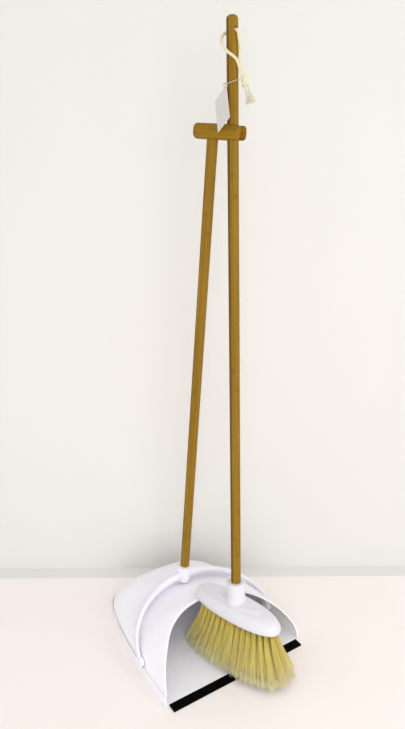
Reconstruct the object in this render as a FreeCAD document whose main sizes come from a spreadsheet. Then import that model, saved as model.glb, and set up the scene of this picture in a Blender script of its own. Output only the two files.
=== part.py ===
"""Dust pan and brush set: a hooded pan on a hoop handle, and a broom that stands in it.

Parametric FreeCAD document, millimetres. X runs across the pan's mouth, +Y towards the back of
the pan, +Z up. The origin is on the floor, at the middle of the mouth's edge.
Every driving dimension is a cell of the spreadsheet, and each sub-part is one labelled object.
"""
import FreeCAD, Part
import math
import os
import Sketcher

from FreeCAD import Placement, Rotation, Vector

OUT = "parts"

# --- driving dimensions ---------------------------------------------------------------------
SIZES = {
    # pan
    "wall": 2.4,                 # hood and back wall thickness
    "floor_thick": 3.0,
    "slot_deep": 9.0,            # slot in the floor's front edge, for the lip's tongue
    "slot_low": 1.0,
    "slot_high": 2.0,
    # rubber lip
    "lip_half": 129.0,           # half its length
    "lip_reach": 15.0,           # how far the blade stands in front of the edge
    "lip_edge": 1.1,
    "lip_low": 0.2,
    "lip_clear": 0.05,
    "lip_end_gap": 0.5,
    # hoop handle
    "pivot_back": 82.0,          # hinge line, behind the mouth's edge
    "pivot_up": 23.0,            # hinge line, above the floor
    "hoop_lean": 56.3,           # lean back from upright, degrees
    "hoop_half": 135.2,          # centre line's half width
    "hoop_rise": 107.7,          # centre line's height in the hoop's own plane
    "leg_thick": 5.8,
    "leg_wide": 11.5,
    "crown_thick": 12.5,
    "crown_wide": 22.0,
    "foot_radius": 8.0,
    "foot_inner": 131.6,         # foot block's inner face, just outside the pan's boss
    "journal_radius": 4.5,
    "journal_clear": 0.07,
    "boss_radius": 11.0,
    "foot_room": 10.8,           # radius of the recess that the foot turns in
    "boss_outer": 131.2,
    "boss_inner": 121.5,
    "bead_radius": 5.4,          # snap bead on the journal's end
    "bead_long": 2.2,
    "bead_gap": 0.3,
    # pan pole and crossbar: distances along the pole's line, from the floor
    "pole_radius": 8.0,
    "pole_fit": 0.08,
    "pan_pole_foot": 176.1,      # where the pole's line meets the floor, behind the mouth
    "pan_pole_lean": 6.78,       # forward lean, degrees
    "cup_rim": 110.0,
    "cup_base": 75.5,
    "cup_floor": 3.0,
    "cup_rim_radius": 14.5,
    "cup_base_radius": 10.0,
    "bar_level": 850.2,
    "bar_turn": 27.7,            # the bar points this far to the right of straight forwards, degrees
    "bar_half_wide": 13.5,
    "bar_half_high": 10.6,
    "bar_side_round": 8.0,
    "bar_end_round": 5.0,
    "bar_rear": 26.6,
    "bar_front": 47.2,
    "bar_socket_top": 1.0,       # the pole's end, above the bar's centre line
    "notch_from_pole": 30.6,     # from the pole's line to the centre of the notch's round back
    "notch_half": 9.3,
    # broom: distances along its pole's line, from the bristle line
    "broom_x": 20.3,             # where the pole's line crosses the bristle line
    "broom_y": 31.6,
    "broom_z": 87.0,
    "broom_lean_side": 0.441,    # lean to the left, degrees
    "broom_lean_back": 1.268,
    "head_turn": -75.9,          # heading of the head's long axis from +X, degrees
    "head_crown": 22.0,
    "socket_rim": 55.7,
    "socket_radius": 15.2,
    "socket_base_radius": 16.5,
    "broom_pole_start": 19.0,
    "broom_pole_end": 899.5,
    "pole_round": 5.0,
    "hang_hole_down": 17.8,      # hanging hole, below the pole's top
    "hang_hole_radius": 2.6,
    # bristle block and tufts
    "block_half_long": 83.5,
    "block_half_wide": 25.3,
    "block_low": -1.0,
    "block_top": 9.0,
    "block_clear": 0.15,
    "tuft_radius": 3.4,
    "tuft_clear": 0.1,
    "tuft_tip_radius": 6.0,
    "outer_half_long": 78.5,     # the outer oval of tufts
    "outer_half_wide": 20.5,
    "middle_half_long": 66.0,    # the oval inside it
    "middle_half_wide": 10.2,
    "inner_pitch": 11.0,         # between the tufts of the middle line
    "tuft_last": 90.8,           # no tuft stands further back than this: the hood's edge is there
    "tuft_root": 5.5,            # the tuft's folded top, above the bristle line
    "tuft_hole_top": 7.5,
    "staple_long": 6.4,          # the wire staple that folds each tuft into its hole
    "staple_thick": 0.5,
    "staple_high": 1.4,
    "tuft_drop": 79.6,           # tips below the bristle line
    "flare_long": 1.325,         # the tips' oval over the roots' one
    "flare_wide": 2.1,
    # screws
    "screw_radius": 1.75,
    "screw_head_radius": 3.4,
    "screw_head_high": 2.0,
    "screw_clear": 0.05,
    "cross_half": 0.45,          # the driver's cross in each head
    "cross_reach": 2.0,
    "cross_deep": 1.2,
    "screw_down": 10.0,          # the poles' screws, below the rim of the cup and of the socket
    "short_screw": 12.0,
    "middle_screw": 16.0,
    "long_screw": 32.0,
    "cup_screw_sink": 0.6,       # how deep each head stands below the round surface
    "socket_screw_sink": 0.2,
    "bar_screw_sink": 0.4,
    "block_screw_x": 44.0,       # in the middle line of tufts, in place of one
    # tag, its thread and the hanging cord
    "card_wide": 32.2,
    "card_long": 51.9,
    "card_thick": 0.6,
    "card_hole_radius": 1.5,
    "card_hole_inset": 3.2,
    "thread_radius": 0.5,
    "loop_level": 818.3,         # thread loop round the broom pole, along its line
    "loop_radius": 11.0,
    "loop_shift": 1.65,          # it hangs off centre, to the tag's side
    "loop_tilt": 20.0,
    "link_radius": 3.2,
    "cord_radius": 1.9,
    "knot_radius": 5.8,
    "knot_half": 9.4,
    "tassel_top_radius": 3.2,
    "tassel_end_radius": 7.8,
    "tassel_long": 20.2,
}

# hood sections: distance behind the mouth, half width, height, squareness of the arch
HOOD_STATIONS = [
    (-20.0, 135.5, 83.5, 2.5),
    (45.0, 135.6, 83.5, 2.5),
    (90.0, 134.3, 83.2, 2.45),
    (130.0, 131.0, 77.5, 2.2),
    (170.0, 127.0, 69.5, 2.2),
    (210.0, 119.5, 63.5, 2.4),
    (245.0, 110.5, 54.5, 2.6),
    (265.0, 101.0, 45.0, 2.5),
    (278.0, 88.0, 34.0, 2.4),
    (284.0, 72.0, 24.0, 2.3),
]
# where the hood's rings stand: even along its length, closer where the back rounds off
HOOD_RINGS = [*range(-20, 241, 20), 253, 264, 273, 280, 284]
# side view of the mouth's edge, from the floor's top to above the hood: behind the edge, height
MOUTH_EDGE = [
    (0.5, 3.0), (1.5, 10.0), (4.1, 20.0), (9.5, 30.0), (19.2, 40.0),
    (31.7, 50.0), (47.7, 60.0), (70.4, 70.0), (84.0, 76.0), (104.0, 84.0), (125.0, 92.0),
]
# half the size of the boxes that cut the pan: they reach well past it
CUTTER = 200.0
# broom head sections: above the bristle line, half length, half width
HEAD_STATIONS = [
    (-1.5, 86.5, 28.0), (6.0, 87.0, 29.0), (13.0, 82.0, 26.0), (18.5, 68.0, 20.0),
    (22.0, 46.0, 13.0),
]
HEAD_SQUARE = 2.3
OUTER_TUFTS = 34
MIDDLE_TUFTS = 26
INNER_TUFTS = 11

# the tag's card: its top corner and the directions of its two edges
CARD_CORNER = (2.55, 48.1, 899.8)
CARD_EDGE_WIDE = (1.01, 28.03, -15.77)
CARD_EDGE_LONG = (-11.67, -24.5, -44.29)
LINK_CENTRE = (1.92, 49.41, 899.35)

# the hanging cord's two legs, from the middle of the hole down to the knot
CORD_LEG_FRONT = [
    (13.5, 51.1, 968.4), (13.5, 39.2, 968.4), (16.7, 40.2, 956.9), (19.6, 41.3, 948.0),
    (19.1, 41.2, 938.3), (17.1, 40.0, 928.1), (19.4, 37.4, 919.4), (22.2, 35.8, 910.9),
]
CORD_LEG_REAR = [
    (13.5, 51.1, 968.4), (13.5, 63.0, 968.4), (4.7, 62.3, 963.5), (-0.9, 56.9, 952.4),
    (0.6, 45.7, 940.3), (7.2, 40.1, 934.7), (12.3, 37.0, 929.3), (14.6, 35.4, 919.6),
    (18.5, 34.1, 910.2),
]
KNOT_CENTRE = (22.7, 33.6, 904.5)
TASSEL_TOP = (24.6, 32.6, 896.1)
TASSEL_HEADING = (0.29, -0.17, -0.94)

doc = FreeCAD.newDocument("dust_pan_and_brush_set")
sheet = doc.addObject("Spreadsheet::Sheet", "sizes")
for line, (alias, number) in enumerate(SIZES.items(), start=1):
    sheet.set(f"A{line}", alias)
    sheet.set(f"B{line}", str(number))
    sheet.setAlias(f"B{line}", alias)
doc.recompute()


def value(expression):
    """The value of an expression of sheet cells, such as "wall * 2"."""
    return float(sheet.evalExpression(expression))


# --- small builders ---------------------------------------------------------------------------
nodes = []


def node(obj, label):
    """Marks an object as a finished sub-part: its label names its file."""
    obj.Label = label
    nodes.append(obj)
    return obj


def on_sheet(expression):
    """The expression with each cell's name written as FreeCAD needs it outside the sheet."""
    words = []
    for word in expression.replace("(", " ( ").replace(")", " ) ").split():
        words.append(f"sizes.{word}" if word in SIZES else word)
    return " ".join(words)


def bind(obj, **expressions):
    """Binds properties to expressions of sheet cells."""
    for prop, expression in expressions.items():
        obj.setExpression(prop, on_sheet(expression))
    return obj


def feature(name, shape, placement=None):
    """A shape feature, for forms that neither sketches nor primitives give."""
    obj = doc.addObject("Part::Feature", name)
    obj.Shape = shape
    if placement is not None:
        obj.Placement = placement
    return obj


def primitive(kind, name, placement, **expressions):
    """A Part primitive whose sizes are expressions of sheet cells."""
    obj = doc.addObject(kind, name)
    bind(obj, **expressions)
    obj.Placement = placement
    return obj


def fuse(name, *shapes):
    """Part::MultiFuse of document objects."""
    obj = doc.addObject("Part::MultiFuse", name)
    obj.Shapes = list(shapes)
    return obj


def cut(name, base, *tools):
    """The base with every tool cut away."""
    obj = doc.addObject("Part::Cut", name)
    obj.Base = base
    obj.Tool = tools[0] if len(tools) == 1 else fuse(name + "_tools", *tools)
    return obj


def new_body(name, placement=None):
    """A PartDesign body, placed in the part's frame."""
    body = doc.addObject("PartDesign::Body", name)
    if placement is not None:
        body.Placement = placement
    return body


def new_sketch(body, name, role, lift=None):
    """A sketch on one of the body's own origin planes, lifted off it by an expression."""
    plane = next(item for item in body.Origin.OriginFeatures if item.Role == role)
    sketch = body.newObject("Sketcher::SketchObject", name)
    sketch.AttachmentSupport = [(plane, "")]
    sketch.MapMode = "FlatFace"
    if lift is not None:
        sketch.setExpression("AttachmentOffset.Base.z", on_sheet(lift))
    return sketch


def polygon(sketch, corners):
    """A closed outline whose corners are pairs of expressions, held by bound distances."""
    points = [Vector(value(across), value(up), 0) for across, up in corners]
    count = len(points)
    for i, point in enumerate(points):
        sketch.addGeometry(Part.LineSegment(point, points[(i + 1) % count]), False)
    for i in range(count):
        sketch.addConstraint(Sketcher.Constraint("Coincident", i, 2, (i + 1) % count, 1))
    for i, (across, up) in enumerate(corners):
        places = (("DistanceX", across, points[i].x), ("DistanceY", up, points[i].y))
        for kind, text, number in places:
            place = sketch.addConstraint(Sketcher.Constraint(kind, -1, 1, i, 1, number))
            sketch.setExpression(f"Constraints[{place}]", on_sheet(text))


def circle(sketch, radius, across="0", up="0"):
    """A circle at a bound centre with a bound radius."""
    centre = Vector(value(across), value(up), 0)
    ring = sketch.addGeometry(Part.Circle(centre, Vector(0, 0, 1), value(radius)), False)
    place = sketch.addConstraint(Sketcher.Constraint("Radius", ring, value(radius)))
    sketch.setExpression(f"Constraints[{place}]", on_sheet(radius))
    for kind, text, number in (("DistanceX", across, centre.x), ("DistanceY", up, centre.y)):
        place = sketch.addConstraint(Sketcher.Constraint(kind, -1, 1, ring, 3, number))
        sketch.setExpression(f"Constraints[{place}]", on_sheet(text))


def pad(body, sketch, length, both_ways=False):
    """Pad of a sketch, by a bound length, to one side or half to each."""
    obj = body.newObject("PartDesign::Pad", sketch.Name + "_pad")
    obj.Profile = sketch
    bind(obj, Length=length)
    obj.Midplane = both_ways
    sketch.Visibility = False
    return obj


def pocket(body, sketch, length, both_ways=False, backwards=False):
    """Pocket of a sketch, by a bound length."""
    obj = body.newObject("PartDesign::Pocket", sketch.Name + "_pocket")
    obj.Profile = sketch
    bind(obj, Length=length)
    obj.Midplane = both_ways
    obj.Reversed = backwards
    return obj


def round_edges(body, feature_before, name, radius, chosen):
    """Rounds the edges of a body's last feature whose bounding boxes the test accepts."""
    doc.recompute()
    edges = [
        f"Edge{i}" for i, edge in enumerate(feature_before.Shape.Edges, start=1)
        if chosen(edge.BoundBox)
    ]
    obj = body.newObject("PartDesign::Fillet", name)
    obj.Base = (feature_before, edges)
    bind(obj, Radius=radius)
    return obj


def revolved_body(name, placement, corners):
    """A body turned about its own Z axis from an outline of (radius, height) expressions."""
    body = new_body(name, placement)
    sketch = new_sketch(body, name + "_outline", "XZ_Plane")
    polygon(sketch, corners)
    turned = body.newObject("PartDesign::Revolution", name + "_turned")
    turned.Profile = sketch
    turned.ReferenceAxis = (sketch, ["V_Axis"])
    turned.Angle = 360.0
    return body


# --- curves and solids worked out with Part ---------------------------------------------------
def arch_wire(back, half, height, square, samples=24):
    """A flat-bottomed arch in the plane Y = back: |x/half|^square + |z/height|^square = 1."""
    points = []
    for i in range(samples + 1):
        turn = math.pi * i / samples
        across = math.copysign(abs(math.cos(turn)) ** (2 / square), math.cos(turn))
        if 2 * i == samples:
            across = 0.0
        points.append(Vector(half * across, back, height * abs(math.sin(turn)) ** (2 / square)))
    points[-1].z = 0.0
    arch = Part.BSplineCurve()
    arch.interpolate(Points=points, InitialTangent=Vector(0, 0, 1), FinalTangent=Vector(0, 0, -1))
    return Part.Wire([arch.toShape(), Part.LineSegment(points[-1], points[0]).toShape()])


def oval_wire(height, half_long, half_wide, square, samples=28):
    """A closed rounded outline in the plane Z = height, its long axis along X."""
    points = []
    for i in range(samples):
        turn = 2 * math.pi * i / samples
        c, s = math.cos(turn), math.sin(turn)
        points.append(Vector(
            half_long * math.copysign(abs(c) ** (2 / square), c),
            half_wide * math.copysign(abs(s) ** (2 / square), s),
            height,
        ))
    curve = Part.BSplineCurve()
    curve.interpolate(Points=points, PeriodicFlag=True)
    return Part.Wire([curve.toShape()])


def oval_prism(low, high, half_long, half_wide):
    """A straight-sided block of the head's outline."""
    face = Part.Face(oval_wire(low, half_long, half_wide, HEAD_SQUARE))
    return face.extrude(Vector(0, 0, high - low))


def rounded_path(points):
    """Straight runs joined by tangent arcs, each arc as large as its two runs allow."""
    points = [Vector(*p) for p in points]
    edges = []
    radii = []
    start = points[0]
    for before, corner, after in zip(points, points[1:], points[2:]):
        run_in, run_out = corner - before, after - corner
        turn = run_in.getAngle(run_out)
        reach = 0.45 * min(run_in.Length, run_out.Length)
        radii.append(reach / math.tan(turn / 2))
        run_in.normalize()
        run_out.normalize()
        enter, leave = corner - run_in * reach, corner + run_out * reach
        inward = run_out - run_in
        inward.normalize()
        middle = corner + inward * (radii[-1] / math.cos(turn / 2) - radii[-1])
        edges.append(Part.LineSegment(start, enter).toShape())
        edges.append(Part.Arc(enter, middle, leave).toShape())
        start = leave
    edges.append(Part.LineSegment(start, points[-1]).toShape())
    return Part.Wire(edges), radii


def tube(name, points, radius):
    """A round tube along a rounded path; prints its length, smallest radius and volume ratio."""
    path, radii = rounded_path(points)
    ring = Part.Circle(Vector(*points[0]), Vector(*points[1]) - Vector(*points[0]), radius)
    shape = path.makePipeShell([Part.Wire([ring.toShape()])], True, False)
    ratio = shape.Volume / (math.pi * radius ** 2 * path.Length)
    bends = [round(r, 1) for r in radii]
    print(f"{name}: length {path.Length:.1f}, volume ratio {ratio:.4f}, radii", bends)
    return shape


def frame(origin, across, up):
    """A placement with Z along up and X as near to across as that allows."""
    return Placement(Vector(*origin), Rotation(Vector(*across), Vector(0, 0, 0), Vector(*up), "ZXY"))


# --- the frames that the sub-parts are built in -----------------------------------------------
hoop_frame = Placement(
    Vector(0, value("pivot_back"), value("pivot_up")), Rotation(Vector(1, 0, 0), -value("hoop_lean"))
)
pan_pole_frame = Placement(
    Vector(0, value("pan_pole_foot"), 0), Rotation(Vector(1, 0, 0), value("pan_pole_lean"))
)
bar_frame = pan_pole_frame * Placement(
    Vector(0, 0, value("bar_level")),
    Rotation(Vector(0, 0, 1), value("bar_turn")) * Rotation(Vector(1, 0, 0), 90),
)
broom_origin = (value("broom_x"), value("broom_y"), value("broom_z"))
broom_up = (
    -math.tan(math.radians(value("broom_lean_side"))),
    math.tan(math.radians(value("broom_lean_back"))),
    1.0,
)
head_heading = math.radians(value("head_turn"))
head_frame = frame(broom_origin, (math.cos(head_heading), math.sin(head_heading), 0), broom_up)
broom_pole_frame = frame(broom_origin, (1, 0, 0), broom_up)
along_x = Rotation(Vector(0, 1, 0), 90)

# where the screws stand, each with its head's top at the origin and its point down its own -Z
pan_screw = pan_pole_frame * Placement(
    Vector(0, value("cup_rim_radius - cup_screw_sink"), value("cup_rim - screw_down")),
    Rotation(Vector(1, 0, 0), -90),
)
bar_screw = pan_pole_frame * Placement(
    Vector(0, 0, value("bar_level + bar_half_high - bar_screw_sink")), Rotation()
)
broom_screw = broom_pole_frame * Placement(
    Vector(0, value("socket_radius - socket_screw_sink"), value("socket_rim - screw_down")),
    Rotation(Vector(1, 0, 0), -90),
)
block_screws = [
    head_frame * Placement(
        Vector(sign * value("block_screw_x"), 0, value("block_low")), Rotation(Vector(1, 0, 0), 180)
    ) for sign in (-1, 1)
]


def screw(name, length, placement):
    """A countersunk wood screw that points down its own Z axis, its head's top at the origin."""
    body = revolved_body(name, placement, [
        ("0", "0"),
        ("screw_head_radius", "0"),
        ("screw_radius", "0 - screw_head_high"),
        ("screw_radius", f"0 - {length} + screw_radius"),
        ("0", f"0 - {length}"),
    ])
    cross = new_sketch(body, name + "_cross", "XY_Plane")
    arm, minus_arm = "cross_half", "0 - cross_half"
    end, minus_end = "cross_reach", "0 - cross_reach"
    polygon(cross, [
        (end, minus_arm), (end, arm), (arm, arm), (arm, end), (minus_arm, end), (minus_arm, arm),
        (minus_end, arm), (minus_end, minus_arm), (minus_arm, minus_arm), (minus_arm, minus_end),
        (arm, minus_end), (arm, minus_arm),
    ])
    pocket(body, cross, "cross_deep")
    return body


def screw_hole(name, length, placement):
    """The clearance that a screw needs: the same outline, a little larger."""
    return revolved_body(name, placement, [
        ("0", "screw_head_high"),
        ("screw_head_radius + screw_clear", "screw_head_high"),
        ("screw_head_radius + screw_clear", "0"),
        ("screw_radius + screw_clear", "0 - screw_head_high"),
        ("screw_radius + screw_clear", f"0 - {length} - screw_clear"),
        ("0", f"0 - {length} - screw_clear"),
    ])


# --- pan ----------------------------------------------------------------------------------------
def hood_section(back):
    """Half width, height and squareness at a distance behind the mouth.

    A monotone cubic through the stations: at each station the slope is the harmonic mean of the
    slopes beside it, so the curve never overshoots.
    """
    place = max(i for i, station in enumerate(HOOD_STATIONS[:-1]) if station[0] <= back)
    section = []
    for column in (1, 2, 3):
        slopes = [
            (after[column] - before[column]) / (after[0] - before[0])
            for before, after in zip(HOOD_STATIONS, HOOD_STATIONS[1:])
        ]
        bends = [slopes[0]]
        for low, high in zip(slopes, slopes[1:]):
            bends.append(2 * low * high / (low + high) if low * high > 0 else 0.0)
        bends.append(slopes[-1])
        run = HOOD_STATIONS[place + 1][0] - HOOD_STATIONS[place][0]
        t = (back - HOOD_STATIONS[place][0]) / run
        start, end = HOOD_STATIONS[place][column], HOOD_STATIONS[place + 1][column]
        section.append(
            start * (1 + 2 * t) * (1 - t) ** 2
            + end * t ** 2 * (3 - 2 * t)
            + run * (bends[place] * t * (1 - t) ** 2 - bends[place + 1] * t ** 2 * (1 - t))
        )
    return section


def hood_solid(name, inset):
    """The hood's outer form, or its hollow when inset by the wall."""
    wires = []
    for back in HOOD_RINGS:
        half, height, square = hood_section(back)
        place = back - inset * max(back, 0) / HOOD_RINGS[-1]
        wires.append(arch_wire(place, half - inset, height - inset, square))
    return feature(name, Part.makeLoft(wires, True, False))


def build_pan_body():
    """The hooded shell: outer form less its hollow, cut to the mouth's edge, with two hinge bosses."""
    outer = hood_solid("hood_outer", 0)
    inner = hood_solid("hood_inner", value("wall"))
    floor_slab = primitive(
        "Part::Box", "floor_slab", Placement(Vector(-CUTTER, -CUTTER, -CUTTER), Rotation()),
        Length=f"{2 * CUTTER}", Width=f"{3 * CUTTER}", Height=f"{CUTTER} + floor_thick",
    )
    shell = cut("hood_shell", outer, cut("hood_hollow", inner, floor_slab))

    edge = Part.BSplineCurve()
    edge.interpolate([Vector(-CUTTER, back, up) for back, up in MOUTH_EDGE])
    low, high = MOUTH_EDGE[0], MOUTH_EDGE[-1]
    corners = [
        Vector(-CUTTER, *high), Vector(-CUTTER, high[0], CUTTER),
        Vector(-CUTTER, -CUTTER, CUTTER), Vector(-CUTTER, -CUTTER, low[1]), Vector(-CUTTER, *low),
    ]
    sides = [Part.LineSegment(a, b).toShape() for a, b in zip(corners, corners[1:])]
    outline = Part.Face(Part.Wire([edge.toShape()] + sides))
    mouth = feature("mouth_cut", outline.extrude(Vector(2 * CUTTER, 0, 0)))
    front = primitive(
        "Part::Box", "front_cut", Placement(Vector(-CUTTER, -CUTTER, -CUTTER), Rotation()),
        Length=f"{2 * CUTTER}", Width=f"{CUTTER}", Height=f"{2 * CUTTER}",
    )
    slot = primitive(
        "Part::Box", "lip_slot", Placement(Vector(-CUTTER, -1, value("slot_low")), Rotation()),
        Length=f"{2 * CUTTER}", Width="1 + slot_deep", Height="slot_high - slot_low",
    )
    open_shell = cut("open_shell", shell, mouth, front, slot)

    bosses, bores = [], []
    for side, sign in (("left", -1), ("right", 1)):
        start = value("boss_inner") if sign > 0 else -value("boss_outer")
        outside = value("boss_outer") if sign > 0 else -value("boss_outer + boss_radius")
        place = Vector(start, value("pivot_back"), value("pivot_up"))
        bosses.append(primitive(
            "Part::Cylinder", f"boss_{side}", Placement(place, along_x),
            Radius="boss_radius", Height="boss_outer - boss_inner",
        ))
        bores.append(primitive(
            "Part::Cylinder", f"boss_bore_{side}", Placement(place - Vector(10, 0, 0), along_x),
            Radius="journal_radius + journal_clear", Height="boss_outer - boss_inner + 20",
        ))
        bores.append(primitive(
            "Part::Cylinder", f"foot_recess_{side}",
            Placement(Vector(outside, value("pivot_back"), value("pivot_up")), along_x),
            Radius="foot_room", Height="boss_radius",
        ))
    node(cut("pan_shell", fuse("shell_and_bosses", open_shell, *bosses), *bores), "pan_body")


def build_lip_seal():
    """The rubber blade: a wedge in front of the edge, with a tongue in its slot."""
    body = new_body("lip")
    sketch = new_sketch(body, "lip_section", "YZ_Plane")
    polygon(sketch, [
        ("0 - lip_reach", "lip_low"),
        ("0 - lip_clear", "lip_low"),
        ("0 - lip_clear", "slot_low + lip_clear"),
        ("slot_deep - lip_end_gap", "slot_low + lip_clear"),
        ("slot_deep - lip_end_gap", "slot_high - lip_clear"),
        ("0 - lip_clear", "slot_high - lip_clear"),
        ("0 - lip_clear", "floor_thick"),
        ("0 - lip_reach + lip_edge", "2 * lip_edge"),
        ("0 - lip_reach", "lip_edge"),
    ])
    pad(body, sketch, "2 * lip_half", both_ways=True)
    node(body, "lip_seal")


# --- hoop handle --------------------------------------------------------------------------------
def hoop_section(turn, samples=16):
    """One cross-section of the hoop: a rounded oblong, thicker and wider towards the crown."""
    half, rise = value("hoop_half"), value("hoop_rise")
    grow = math.sin(turn) ** 2
    thick = value("leg_thick") + grow * (value("crown_thick") - value("leg_thick"))
    wide = value("leg_wide") + grow * (value("crown_wide") - value("leg_wide"))
    centre = Vector(half * math.cos(turn), 0, rise * math.sin(turn))
    outward = Vector(rise * math.cos(turn), 0, half * math.sin(turn))
    outward.normalize()
    points = []
    for i in range(samples):
        a = 2 * math.pi * i / samples
        c, s = math.cos(a), math.sin(a)
        points.append(
            centre
            + outward * (thick / 2 * math.copysign(abs(c) ** 0.7, c))
            + Vector(0, wide / 2 * math.copysign(abs(s) ** 0.7, s), 0)
        )
    curve = Part.BSplineCurve()
    curve.interpolate(Points=points, PeriodicFlag=True)
    return Part.Wire([curve.toShape()])


def build_hoop():
    """The hoop with its two feet, its snap-in journals and the cup that holds the pan's pole."""
    steps = 16
    sections = [hoop_section(math.pi * i / steps) for i in range(steps + 1)]
    arch = feature("hoop_arch", Part.makeLoft(sections, True, False), hoop_frame)
    pieces = [arch]
    for side, turn in (("left", -90), ("right", 90)):
        place = hoop_frame * Placement(Vector(), Rotation(Vector(0, 1, 0), turn))
        pieces.append(revolved_body(f"hoop_foot_{side}", place, [
            ("0", "boss_inner - bead_gap - bead_long"),
            ("bead_radius - 1", "boss_inner - bead_gap - bead_long"),
            ("bead_radius", "boss_inner - bead_gap - bead_long + 1"),
            ("bead_radius", "boss_inner - bead_gap"),
            ("journal_radius", "boss_inner - bead_gap"),
            ("journal_radius", "foot_inner"),
            ("foot_radius - 1.5", "foot_inner"),
            ("foot_radius", "foot_inner + 1.5"),
            ("foot_radius", "hoop_half + leg_thick / 2 - 1.5"),
            ("foot_radius - 1.5", "hoop_half + leg_thick / 2"),
            ("0", "hoop_half + leg_thick / 2"),
        ]))
    pieces.append(revolved_body("pole_cup", pan_pole_frame, [
        ("0", "cup_base"),
        ("cup_base_radius - 1.5", "cup_base"),
        ("cup_base_radius", "cup_base + 1.5"),
        ("cup_rim_radius", "cup_rim - 1"),
        ("cup_rim_radius - 0.8", "cup_rim"),
        ("0", "cup_rim"),
    ]))
    bore = primitive(
        "Part::Cylinder", "cup_bore",
        pan_pole_frame * Placement(Vector(0, 0, value("cup_base + cup_floor")), Rotation()),
        Radius="pole_radius + pole_fit", Height="cup_rim - cup_base",
    )
    drill = screw_hole("hoop_screw_hole", "short_screw", pan_screw)
    node(cut("hoop_bored", fuse("hoop_whole", *pieces), bore, drill), "hoop_handle")


def build_pan_pole():
    """The pan's bamboo pole, from the cup's floor into the crossbar."""
    body = revolved_body("pan_pole_rod", pan_pole_frame, [
        ("0", "cup_base + cup_floor + 0.1"),
        ("pole_radius - 1", "cup_base + cup_floor + 0.1"),
        ("pole_radius", "cup_base + cup_floor + 1.1"),
        ("pole_radius", "bar_level + bar_socket_top"),
        ("0", "bar_level + bar_socket_top"),
    ])
    low_hole = screw_hole("pan_pole_screw_hole", "short_screw", pan_screw)
    top_hole = screw_hole("pan_pole_top_hole", "long_screw", bar_screw)
    node(cut("pan_pole_drilled", body, low_hole, top_hole), "pan_pole")
    node(screw("pan_pole_screw_body", "short_screw", pan_screw), "pan_pole_screw")


def build_crossbar():
    """The bamboo bar on the pan's pole, notched at its front end for the broom's pole."""
    body = new_body("bar", bar_frame)
    sketch = new_sketch(body, "bar_section", "XY_Plane", "0 - bar_rear")
    polygon(sketch, [
        ("0 - bar_half_wide", "0 - bar_half_high"),
        ("bar_half_wide", "0 - bar_half_high"),
        ("bar_half_wide", "bar_half_high"),
        ("0 - bar_half_wide", "bar_half_high"),
    ])
    blank = pad(body, sketch, "bar_rear + bar_front")
    sides = round_edges(body, blank, "bar_sides", "bar_side_round", lambda box: box.ZLength > 1)
    round_edges(body, sides, "bar_ends", "bar_end_round", lambda box: box.ZLength < 0.01)
    notch = new_sketch(body, "bar_notch", "XZ_Plane")
    polygon(notch, [
        ("0 - notch_half", "notch_from_pole"),
        ("notch_half", "notch_from_pole"),
        ("notch_half", "bar_front + 5"),
        ("0 - notch_half", "bar_front + 5"),
    ])
    pocket(body, notch, "4 * bar_half_high", both_ways=True)
    back = new_sketch(body, "bar_notch_back", "XZ_Plane")
    circle(back, "notch_half", "0", "notch_from_pole")
    pocket(body, back, "4 * bar_half_high", both_ways=True)
    bore = primitive(
        "Part::Cylinder", "bar_pole_bore",
        pan_pole_frame * Placement(Vector(0, 0, value("bar_level - bar_half_high") - 5), Rotation()),
        Radius="pole_radius + pole_fit", Height="bar_half_high + 5 + bar_socket_top + 0.1",
    )
    drill = screw_hole("bar_screw_hole", "long_screw", bar_screw)
    node(cut("bar_drilled", body, bore, drill), "crossbar")
    node(screw("bar_screw_body", "long_screw", bar_screw), "crossbar_screw")


# --- broom --------------------------------------------------------------------------------------
def build_head_shell():
    """The white head: a crowned oval cap with a socket, hollow below for the bristle block."""
    outlines = [oval_wire(*station, HEAD_SQUARE) for station in HEAD_STATIONS]
    cap = feature("head_cap", Part.makeLoft(outlines, True, False), head_frame)
    socket = revolved_body("head_socket", head_frame, [
        ("0", "head_crown - 6"),
        ("socket_base_radius + 2", "head_crown - 6"),
        ("socket_base_radius", "head_crown + 2"),
        ("socket_radius", "head_crown + 8"),
        ("socket_radius", "socket_rim - 1.5"),
        ("socket_radius - 1.5", "socket_rim"),
        ("0", "socket_rim"),
    ])
    clear = value("block_clear")
    room = feature("block_room", oval_prism(
        value("block_low") - 5, value("block_top") + 0.1,
        value("block_half_long") + clear, value("block_half_wide") + clear,
    ), head_frame)
    bore = primitive(
        "Part::Cylinder", "socket_bore",
        head_frame * Placement(Vector(0, 0, value("broom_pole_start") - 0.1), Rotation()),
        Radius="pole_radius + pole_fit", Height="socket_rim",
    )
    holes = [
        screw_hole(f"head_block_hole_{i}", "middle_screw", place)
        for i, place in enumerate(block_screws)
    ]
    node(cut(
        "head_finished", fuse("head_whole", cap, socket), room, bore,
        screw_hole("head_pole_hole", "middle_screw", broom_screw), *holes,
    ), "head_shell")


def oval_spots(half_long, half_wide, count, steps=720):
    """Places along an oval with equal lengths of its outline between them."""
    outline = []
    for i in range(steps + 1):
        c, s = math.cos(2 * math.pi * i / steps), math.sin(2 * math.pi * i / steps)
        outline.append(Vector(
            half_long * math.copysign(abs(c) ** (2 / HEAD_SQUARE), c),
            half_wide * math.copysign(abs(s) ** (2 / HEAD_SQUARE), s), 0,
        ))
    lengths = [0.0]
    for before, after in zip(outline, outline[1:]):
        lengths.append(lengths[-1] + (after - before).Length)
    spots = []
    for i in range(count):
        wanted = (i + 0.5) * lengths[-1] / count
        spots.append(outline[next(k for k, run in enumerate(lengths) if run >= wanted)])
    return spots


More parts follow.
